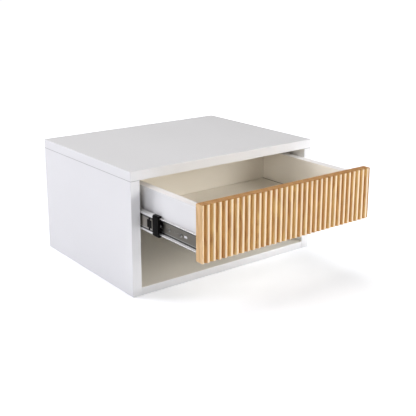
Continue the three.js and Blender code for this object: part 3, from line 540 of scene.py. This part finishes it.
# Painted highlight: a light line along the lower web for a bead. Painted shade: a darker band
# between the bead's level and the lips.
bead_highlight = 1 - zinc.step(abs(above_centre + BEAD_LEVEL), BEAD_WIDTH / 4, BEAD_WIDTH / 2)
bead_shade = zinc.step(from_centre, BEAD_LEVEL, BEAD_LEVEL + BEAD_WIDTH) * (1 - on_lip)
zinc_web = zinc.blend(zinc_cloud, *ZINC_WEB)
zinc_bead_lit_and_shaded = zinc.blend(bead_highlight, zinc.blend(bead_shade, zinc_web, ZINC_SHADED), ZINC_BEAD_HIGHLIGHT)
# Painted highlight: the lips are lighter and less metallic than the web.
zinc.surface(
    Base_Color=zinc.blend(on_lip, zinc_bead_lit_and_shaded, ZINC_LIP_HIGHLIGHT),
    Metallic=0.95 - on_lip * 0.75,
    Roughness=0.26 + zinc_draw * 0.14 + on_lip * 0.14,
    Normal=zinc.bump(zinc_draw * (1 - on_lip), DRAW_HEIGHT, 0.5),
)
for side in SIDES:
    for member, body in SLIDE_BODIES.items():
        packed = f"{member}_member_{side}"
        channel = welded(packed)
        ease(channel, SHEET_EASE, SHEET_EASE_STEPS)
        as_piece(f"{member}_channel_{side}", channel, (zinc,), "zinc_steel", body, packed)


# Ball rows
# Hardened steel balls in a thin pressed cage, one row above and one below, four balls to a row.
# The cage keeps them apart, and they roll in the races between two channels.

BALL_RADIUS = 0.00163
BALL_DETAIL = 2
BALL_SHARP_DEGREES = 60
BALLS_PER_ROW = 4
CAGE_END_MARGIN = 0.006
ROW_REACH_FROM_SIDE = {"outer": 0.0052, "inner": 0.0093}
ROW_LEVEL = {"outer": 0.01995, "inner": 0.0171}
CAGE_STEEL = (0.34, 0.345, 0.35), (0.46, 0.465, 0.47)
BALL_STEEL = (0.62, 0.62, 0.62), (0.72, 0.72, 0.72)

cage_steel = Finish("cage_steel")
cage_cloud = cage_steel.noise(120, 2)
cage_steel.surface(
    Base_Color=cage_steel.blend(cage_cloud, *CAGE_STEEL),
    Metallic=0.9,
    Roughness=0.36 + cage_cloud * 0.1,
)
ball_steel = Finish("ball_steel")
ball_cloud = ball_steel.noise(400, 2)
ball_steel.surface(
    Base_Color=ball_steel.blend(ball_cloud, *BALL_STEEL),
    Metallic=1.0,
    Roughness=0.1 + ball_cloud * 0.06,
)
for row, reach in ROW_REACH_FROM_SIDE.items():
    for side, sign in SIDES.items():
        packed = f"{row}_ball_cage_{side}"
        dress(cage_steel, packed)
        cage_low, cage_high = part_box(packed)
        first_ball = cage_low.y + CAGE_END_MARGIN
        spacing = (cage_high.y - CAGE_END_MARGIN - first_ball) / (BALLS_PER_ROW - 1)
        cage_centre = (cage_low.z + cage_high.z) / 2
        balls = bmesh.new()
        for number in range(BALLS_PER_ROW):
            for level in (cage_centre - ROW_LEVEL[row], cage_centre + ROW_LEVEL[row]):
                place = (sign * (inside_face - reach), first_ball + number * spacing, level)
                bmesh.ops.create_icosphere(
                    balls,
                    subdivisions=BALL_DETAIL,
                    radius=BALL_RADIUS,
                    matrix=Matrix.Translation(place),
                )
        smooth(balls, BALL_SHARP_DEGREES)
        as_piece(f"{row}_balls_{side}", balls, (ball_steel,), "cage_steel", f"{row}_ball_cages")


# Bumpers, stops and release levers
# Moulded in black nylon. A bumper snaps over the middle channel's front end, a stop fills the
# rear end of the cabinet channel, and a lever on the drawer channel lets the drawer off.

BUMPER_EASE = 0.0015
STOP_EASE = 0.0006
LEVER_EASE = 0.0004
MOULDED_EASE_STEPS = 3
BLACK = (0.003, 0.003, 0.003), (0.007, 0.007, 0.007)
MOULDED_GRAIN_HEIGHT = 0.00004

black_plastic = Finish("black_plastic")
plastic_grain = black_plastic.noise(2600, 2)
plastic_flow = black_plastic.noise(90, 3, distortion=0.8)
black_plastic.surface(
    Base_Color=black_plastic.blend(plastic_flow, *BLACK),
    Roughness=0.28 + plastic_grain * 0.12,
    Specular_IOR_Level=0.08,
    Normal=black_plastic.bump(plastic_grain, MOULDED_GRAIN_HEIGHT, 0.4),
)
for side in SIDES:
    mouldings = (
        ("bumper", BUMPER_EASE, "middle_members"),
        ("rear_stop", STOP_EASE, "cabinet"),
        ("release_lever", LEVER_EASE, f"{side}_lever"),
    )
    for moulding, radius, body in mouldings:
        packed = f"{moulding}_{side}"
        part = welded(packed)
        ease(part, radius, MOULDED_EASE_STEPS)
        as_piece(f"moulded_{packed}", part, (black_plastic,), "black_plastic", body, packed)


# Screws and rivets
# Zinc-plated steel screws with a cross recess and a rolled thread. The slides' screws into the
# cabinet are countersunk, the others have pan heads. Each lever turns on a domed rivet.

TURN_STEPS = 24
TURNED_SHARP_DEGREES = 40
SLIDE_HEAD_HEIGHT = 0.0019
FRONT_HEAD_HEIGHT = 0.0024
CROWN_SHARE = 0.72
PAN_SHANK = 0.5
PAN_HEAD = [(1, 0), (1, 0.3), (0.93, 0.66), (0.78, 0.92), (CROWN_SHARE, 1)]
SUNK_SHANK = 0.53
SUNK_HEAD = [(SUNK_SHANK, 0), (1, 0.9), (1, 1), (CROWN_SHARE, 1)]
CORE_SHARE = 0.68
TIP_LENGTH_SHARE = 1.6
THREAD_PITCH = 0.0014
THREAD_STEPS = 12
THREAD_MARGIN_SHARE = 2
THREAD_ROOT_SHARE = 0.9
THREAD_FLANK_SHARE = 0.25
RECESS_REACH_SHARE = 0.62
RECESS_WIDTH_SHARE = 0.17
RECESS_DEPTH_SHARE = 0.62
RECESS_FLOOR_SHARE = 0.6
RIVET_PROFILE = [
    (0, 0),
    (0.54, 0),
    (0.54, 0.8),
    (1, 0.8),
    (0.96, 0.88),
    (0.78, 0.96),
    (0.45, 1),
    (0, 1),
]
SCREW_STEEL = (0.70, 0.70, 0.69), (0.82, 0.82, 0.81)

screw_steel = Finish("screw_steel")
screw_cloud = screw_steel.noise(500, 2)
screw_steel.surface(
    Base_Color=screw_steel.blend(screw_cloud, *SCREW_STEEL),
    Metallic=1.0,
    Roughness=0.4 + screw_cloud * 0.14,
)


def turned(mesh, profile):
    """Turns a profile of radius and height round the Z axis."""
    corners = [mesh.verts.new((radius, 0, height)) for radius, height in profile]
    edges = [mesh.edges.new(pair) for pair in zip(corners, corners[1:])]
    bmesh.ops.spin(
        mesh,
        geom=corners + edges,
        cent=(0, 0, 0),
        axis=(0, 0, 1),
        angle=math.tau,
        steps=TURN_STEPS,
        use_merge=True,
    )
    bmesh.ops.remove_doubles(mesh, verts=mesh.verts, dist=WELD_DISTANCE)


def rim(mesh, height):
    """The edges of the open rings at this height."""
    open_edges = [e for e in mesh.edges if e.is_boundary]
    return [e for e in open_edges if all(abs(v.co.z - height) < WELD_DISTANCE for v in e.verts)]


def cut_recess(mesh, head_radius, top, depth):
    """A tapered cross in the head, joined to the head's open crown."""
    crown = rim(mesh, top)
    reach = head_radius * RECESS_REACH_SHARE
    cross = bmesh.ops.create_grid(
        mesh, x_segments=3, y_segments=3, size=reach, matrix=Matrix.Translation((0, 0, top))
    )["verts"]
    for vertex in cross:
        for axis in (0, 1):
            if abs(vertex.co[axis]) < reach / 2:
                vertex.co[axis] = math.copysign(head_radius * RECESS_WIDTH_SHARE, vertex.co[axis])
    squares = {f for v in cross for f in v.link_faces}
    middles = {f: f.calc_center_median() for f in squares}
    corners = [f for f in squares if min(abs(middles[f].x), abs(middles[f].y)) > reach / 3]
    bmesh.ops.delete(mesh, geom=corners, context="FACES")
    arms = [f for f in squares if f.is_valid]
    sunk = bmesh.ops.extrude_face_region(mesh, geom=arms)
    floor_corners = [v for v in sunk["geom"] if isinstance(v, bmesh.types.BMVert)]
    bmesh.ops.translate(mesh, vec=(0, 0, -depth), verts=floor_corners)
    taper = (RECESS_FLOOR_SHARE, RECESS_FLOOR_SHARE, 1)
    bmesh.ops.scale(mesh, vec=taper, verts=floor_corners)
    bmesh.ops.delete(mesh, geom=[f for f in arms if f.is_valid], context="FACES")
    inner = [e for e in rim(mesh, top) if e not in crown]
    bmesh.ops.bridge_loops(mesh, edges=crown + inner)


def cut_thread(mesh, core, shank, seat):
    """A helical tooth round the core, from the tip to near the seat, closed at both its ends."""
    start = shank * TIP_LENGTH_SHARE
    turns = math.floor((seat - shank * THREAD_MARGIN_SHARE) / THREAD_PITCH)
    root = THREAD_ROOT_SHARE * core
    flank = THREAD_FLANK_SHARE * THREAD_PITCH
    profile = ((root, start - flank), (shank, start), (root, start + flank))
    tooth = mesh.faces.new([mesh.verts.new((radius, 0, height)) for radius, height in profile])
    bmesh.ops.spin(
        mesh,
        geom=[tooth],
        cent=(0, 0, 0),
        axis=(0, 0, 1),
        dvec=(0, 0, THREAD_PITCH / THREAD_STEPS),
        angle=math.tau * turns,
        steps=THREAD_STEPS * turns,
    )
    bmesh.ops.holes_fill(mesh, edges=[e for e in mesh.edges if e.is_boundary], sides=3)


def turned_piece(name, mesh, low, high, direction, body, packed):
    """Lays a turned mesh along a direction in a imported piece's box and makes it a piece."""
    bmesh.ops.recalc_face_normals(mesh, faces=mesh.faces[:])
    smooth(mesh, TURNED_SHARP_DEGREES)
    length = abs((high - low).dot(Vector(direction)))
    base = (low + high) / 2 - Vector(direction) * length / 2
    turn = Vector(direction).to_track_quat("Z", "Y").to_matrix().to_4x4()
    bmesh.ops.transform(mesh, matrix=Matrix.Translation(base) @ turn, verts=mesh.verts)
    as_piece(name, mesh, (screw_steel,), "screw_steel", body, packed)


def screw(packed, direction, body, head_height, head, shank_share):
    """A screw in the place of a packed one. The direction runs from its tip to its head."""
    low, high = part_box(packed)
    size = high - low
    along = max(range(3), key=lambda axis: abs(direction[axis]))
    length = size[along]
    head_radius = size[(along + 2) % 3] / 2
    shank = head_radius * shank_share
    core = shank * CORE_SHARE
    seat = length - head_height
    mesh = bmesh.new()
    head_profile = [(r * head_radius, seat + h * head_height) for r, h in head]
    turned(mesh, [(0, 0), (core, shank * TIP_LENGTH_SHARE), (core, seat), *head_profile])
    cut_recess(mesh, head_radius, length, head_height * RECESS_DEPTH_SHARE)
    cut_thread(mesh, core, shank, seat)
    turned_piece(f"cross_{packed}", mesh, low, high, direction, body, packed)


for side, sign in SIDES.items():
    outward = (sign, 0, 0)
    inward = (-sign, 0, 0)
    for place in ("front", "middle", "rear"):
        drawer_screw = f"drawer_screw_{side}_{place}"
        cabinet_screw = f"cabinet_screw_{side}_{place}"
        screw(drawer_screw, outward, "drawer", SLIDE_HEAD_HEIGHT, PAN_HEAD, PAN_SHANK)
        screw(cabinet_screw, inward, "cabinet", SLIDE_HEAD_HEIGHT, SUNK_HEAD, SUNK_SHANK)
    for place in ("lower", "upper"):
        front_screw = f"front_screw_{side}_{place}"
        screw(front_screw, (0, 1, 0), "drawer", FRONT_HEAD_HEIGHT, PAN_HEAD, PAN_SHANK)
for side, sign in SIDES.items():
    packed = f"lever_rivet_{side}"
    low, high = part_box(packed)
    rivet = bmesh.new()
    rivet_radius = (high.y - low.y) / 2
    turned(rivet, [(r * rivet_radius, h * (high.x - low.x)) for r, h in RIVET_PROFILE])
    turned_piece(f"domed_{packed}", rivet, low, high, (sign, 0, 0), "drawer", packed)


# Studio
# A seamless pale floor under soft lights: three on the left, two in front on the right, one
# overhead and one just over the floor that shines up. Only the camera sees the room white and
# the floor glow. The room lights the piece dimly, and the piece reflects the floor dimly.

ROOM_LIGHT = 0.05
FLOOR_REACH = 30
FLOOR_GAP = 0.0005
FLOOR_PAPER = (0.86, 0.88, 0.92)
FLOOR_GLOW = 0.3
FLOOR_REFLECTED = 0.3
FLOOR_NEAR = 0.7
FLOOR_FAR = 1.8
WHITE = (1, 1, 1)
COOL = (0.965, 0.955, 1.0)
WARM = (1.0, 0.985, 0.965)
OBJECT_CENTRE = (0, 0, 0.12)

floor_mesh = bmesh.new()
bmesh.ops.create_grid(floor_mesh, x_segments=1, y_segments=1, size=FLOOR_REACH)
floor_data = bpy.data.meshes.new("floor")
floor_mesh.to_mesh(floor_data)
floor_mesh.free()
floor = bpy.data.objects.new("floor", floor_data)
bpy.context.scene.collection.objects.link(floor)
floor.location.z = cad_box[0][2] - FLOOR_GAP
floor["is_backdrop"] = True

paper = Finish("pale_floor")
away = paper.node("ShaderNodeVectorMath", {"operation": "LENGTH"}, {0: paper.place}, "Value")
seen = paper.node("ShaderNodeLightPath", output="Is Camera Ray")
reflected = paper.node("ShaderNodeLightPath", output="Is Glossy Ray")
glow = FLOOR_GLOW + paper.step(away, FLOOR_NEAR, FLOOR_FAR) * (1 - FLOOR_GLOW)
lit_paper = paper.shader(
    Base_Color=FLOOR_PAPER,
    Roughness=0.9,
    Specular_IOR_Level=0.0,
    Emission_Color=seen * glow,
    Emission_Strength=1.0,
)
dim_paper = paper.node(
    "ShaderNodeEmission", inputs={"Color": (*WHITE, 1), "Strength": FLOOR_REFLECTED}
)
paper.end(paper.node("ShaderNodeMixShader", inputs={0: reflected, 1: lit_paper, 2: dim_paper}))
floor_data.materials.append(paper.material)


def soft_light(name, place, size, watts, colour, lights=True, reflects=True, aim=OBJECT_CENTRE):
    """A square light that the camera doesn't see. It can light, show as a reflection, or both."""
    data = bpy.data.lights.new(name, "AREA")
    data.color = colour
    data.shape = "SQUARE"
    data.size = size
    data.energy = watts
    light = bpy.data.objects.new(name, data)
    light.location = place
    light.rotation_euler = (Vector(aim) - light.location).to_track_quat("-Z", "Y").to_euler()
    light.visible_camera = False
    light.visible_diffuse = lights
    light.visible_glossy = reflects
    bpy.context.scene.collection.objects.link(light)


soft_light("left_light", (-1.9, 1.6, 1.4), 1.4, 54, COOL, reflects=False)
soft_light("left_sheen", (-0.9, 1.6, 1.6), 1.4, 8, COOL, lights=False)
soft_light("side_light", (-2.4, -1.15, 0.7), 0.6, 9, COOL, reflects=False)
soft_light("front_light", (1.8, -2.2, 1.2), 1.4, 58, WHITE, reflects=False)
soft_light("right_light", (1.5, -0.7, 0.25), 0.5, 7, WHITE, reflects=False, aim=(-0.1, -0.2, 0.1))
soft_light("floor_light", (0.1, -0.95, 0.003), 1.5, 3, WHITE, aim=(0.1, -0.95, 1))
soft_light("overhead_light", (0.0, 0.3, 2.6), 1.6, 37, WARM, reflects=False)

world = bpy.data.worlds.new("studio")
room = NodeTree(world)
in_view = room.node("ShaderNodeLightPath", output="Is Camera Ray")
strength = ROOM_LIGHT + in_view * (1 - ROOM_LIGHT)
backdrop = room.node("ShaderNodeBackground", inputs={"Color": (*WHITE, 1), "Strength": strength})
room.node("ShaderNodeOutputWorld", inputs={"Surface": backdrop}, output=None)
bpy.context.scene.world = world
bpy.context.scene.view_settings.view_transform = "Standard"


# Camera
# Set in front of the piece, to its left and above it, and tilted down a little towards it. The
# lens is as wide as the photograph's, and a small shift raises the piece in the frame.

FOCAL_PIXELS = 768.8
SHIFT_PIXELS = -42
PHOTO_WIDTH = 416
SENSOR_WIDTH = 36
CAMERA_PLACE = (-0.9497, -1.3522, 0.6141)
TILT_DEGREES = 14.45
TURN_DEGREES = -37.4

camera_data = bpy.data.cameras.new("camera")
camera_data.sensor_width = SENSOR_WIDTH
camera_data.lens = SENSOR_WIDTH * FOCAL_PIXELS / PHOTO_WIDTH
camera_data.shift_y = SHIFT_PIXELS / PHOTO_WIDTH
camera = bpy.data.objects.new("camera", camera_data)
camera.location = CAMERA_PLACE
camera.rotation_euler = (math.radians(90 - TILT_DEGREES), 0, math.radians(TURN_DEGREES))
bpy.context.scene.collection.objects.link(camera)
bpy.context.scene.camera = camera

boxes = {"cad": cad_box, "visual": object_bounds()}
{name: [list(corner) for corner in box] for name, box in boxes.items()}
